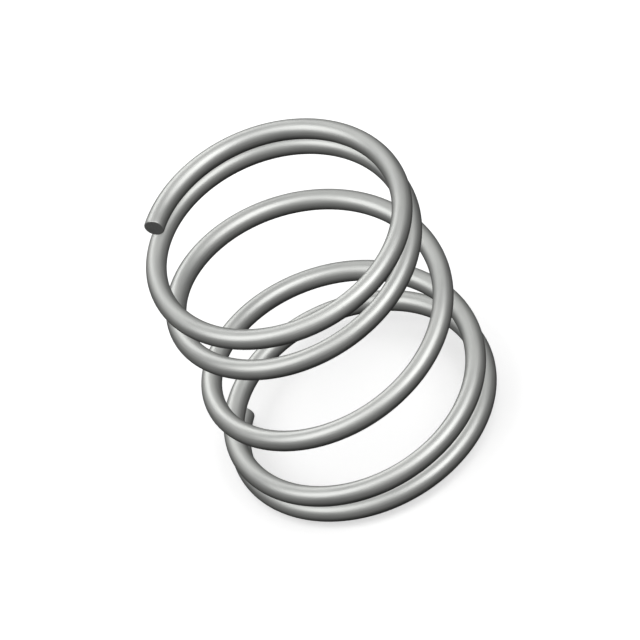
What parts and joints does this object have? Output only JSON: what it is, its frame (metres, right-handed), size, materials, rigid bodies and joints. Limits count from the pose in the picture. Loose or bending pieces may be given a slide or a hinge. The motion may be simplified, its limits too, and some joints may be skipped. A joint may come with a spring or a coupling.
{
  "type": "compression spring",
  "caption": "Helical compression spring of round steel wire, wound open between closed ends that aren't ground, with square-cut wire tips.",
  "frame": {"origin": "on the axis of the coil, level with the lowest point of the lower end coil", "axes": "+Z along the axis of the coil, from the lower end coil to the upper one; +X through both tips of the wire"},
  "size_m": [0.027, 0.027, 0.0303],
  "materials": {
    "spring_wire": "semi-bright drawn wire, with fine draw lines along the wire and dull sheared tips"
  },
  "bodies": {
    "root": {"coil_spring": "spring_wire"}
  },
  "joints": []
}
